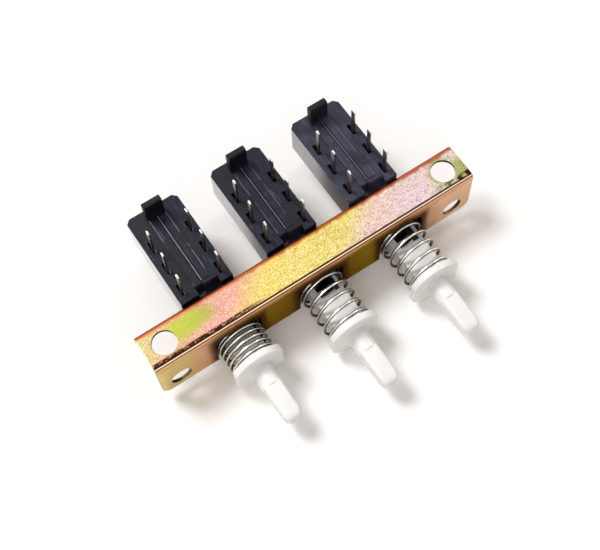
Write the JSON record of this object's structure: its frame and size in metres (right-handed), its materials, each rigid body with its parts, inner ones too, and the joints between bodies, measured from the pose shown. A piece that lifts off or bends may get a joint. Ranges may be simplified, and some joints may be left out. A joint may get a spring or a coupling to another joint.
{
  "type": "pushbutton switch",
  "caption": "Bank of latching pushbutton switches on a bent steel bracket, with sprung white plungers, black bodies and rows of solder terminals.",
  "frame": {"origin": "midway between the two panel screw holes, on the front face of the bracket", "axes": "+X along the bracket, +Y from the front face to the rear, +Z towards the terminals"},
  "size_m": [0.0574, 0.0424, 0.0182],
  "materials": {
    "chromate_steel": "yellow chromate over zinc, satin, iridescent",
    "zinc_steel": "bright zinc, punched",
    "spring_steel": "bright drawn wire",
    "white_plastic": "moulded acetal, satin",
    "natural_plastic": "moulded acetal, satin",
    "black_plastic": "moulded, satin",
    "contact_bronze": "silver-plated phosphor bronze",
    "tinned_brass": "tinned, bright"
  },
  "bodies": {
    "frame": {"bracket": "chromate_steel", "latch_spring": "spring_steel", "return_spring_1": "spring_steel", "return_spring_2": "spring_steel", "return_spring_3": "spring_steel", "case_1": "black_plastic", "case_2": "black_plastic", "case_3": "black_plastic", "terminal_block_1": "black_plastic", "terminal_block_2": "black_plastic", "terminal_block_3": "black_plastic", "terminal_1_left_1": "tinned_brass", "terminal_1_left_2": "tinned_brass", "terminal_1_left_3": "tinned_brass", "terminal_1_right_1": "tinned_brass", "terminal_1_right_2": "tinned_brass", "terminal_1_right_3": "tinned_brass", "terminal_2_left_1": "tinned_brass", "terminal_2_left_2": "tinned_brass", "terminal_2_left_3": "tinned_brass", "terminal_2_right_1": "tinned_brass", "terminal_2_right_2": "tinned_brass", "terminal_2_right_3": "tinned_brass", "terminal_3_left_1": "tinned_brass", "terminal_3_left_2": "tinned_brass", "terminal_3_left_3": "tinned_brass", "terminal_3_right_1": "tinned_brass", "terminal_3_right_2": "tinned_brass", "terminal_3_right_3": "tinned_brass"},
    "key_1": {"plunger_1": "white_plastic", "contact_carrier_1": "natural_plastic", "moving_contact_1_left": "contact_bronze", "moving_contact_1_right": "contact_bronze"},
    "key_2": {"plunger_2": "white_plastic", "contact_carrier_2": "natural_plastic", "moving_contact_2_left": "contact_bronze", "moving_contact_2_right": "contact_bronze"},
    "key_3": {"plunger_3": "white_plastic", "contact_carrier_3": "natural_plastic", "moving_contact_3_left": "contact_bronze", "moving_contact_3_right": "contact_bronze"},
    "latch": {"latch_bar": "zinc_steel"}
  },
  "joints": [
    {"name": "key_1_push", "type": "slide", "parent": "frame", "child": "key_1", "axis": [0, 1, 0], "range_m": [-0.0035, 0.001], "stiffness_N_per_m": 150, "springref_m": -0.0065, "deforming": ["return_spring_1"]},
    {"name": "key_2_push", "type": "slide", "parent": "frame", "child": "key_2", "axis": [0, 1, 0], "range_m": [0, 0.0045], "stiffness_N_per_m": 150, "springref_m": -0.003, "deforming": ["return_spring_2"]},
    {"name": "key_3_push", "type": "slide", "parent": "frame", "child": "key_3", "axis": [0, 1, 0], "range_m": [0, 0.0045], "stiffness_N_per_m": 150, "springref_m": -0.003, "deforming": ["return_spring_3"]},
    {"name": "latch_slide", "type": "slide", "parent": "frame", "child": "latch", "axis": [1, 0, 0], "range_m": [-0.00095, 0], "stiffness_N_per_m": 200, "springref_m": -0.0015, "deforming": ["latch_spring"]}
  ]
}
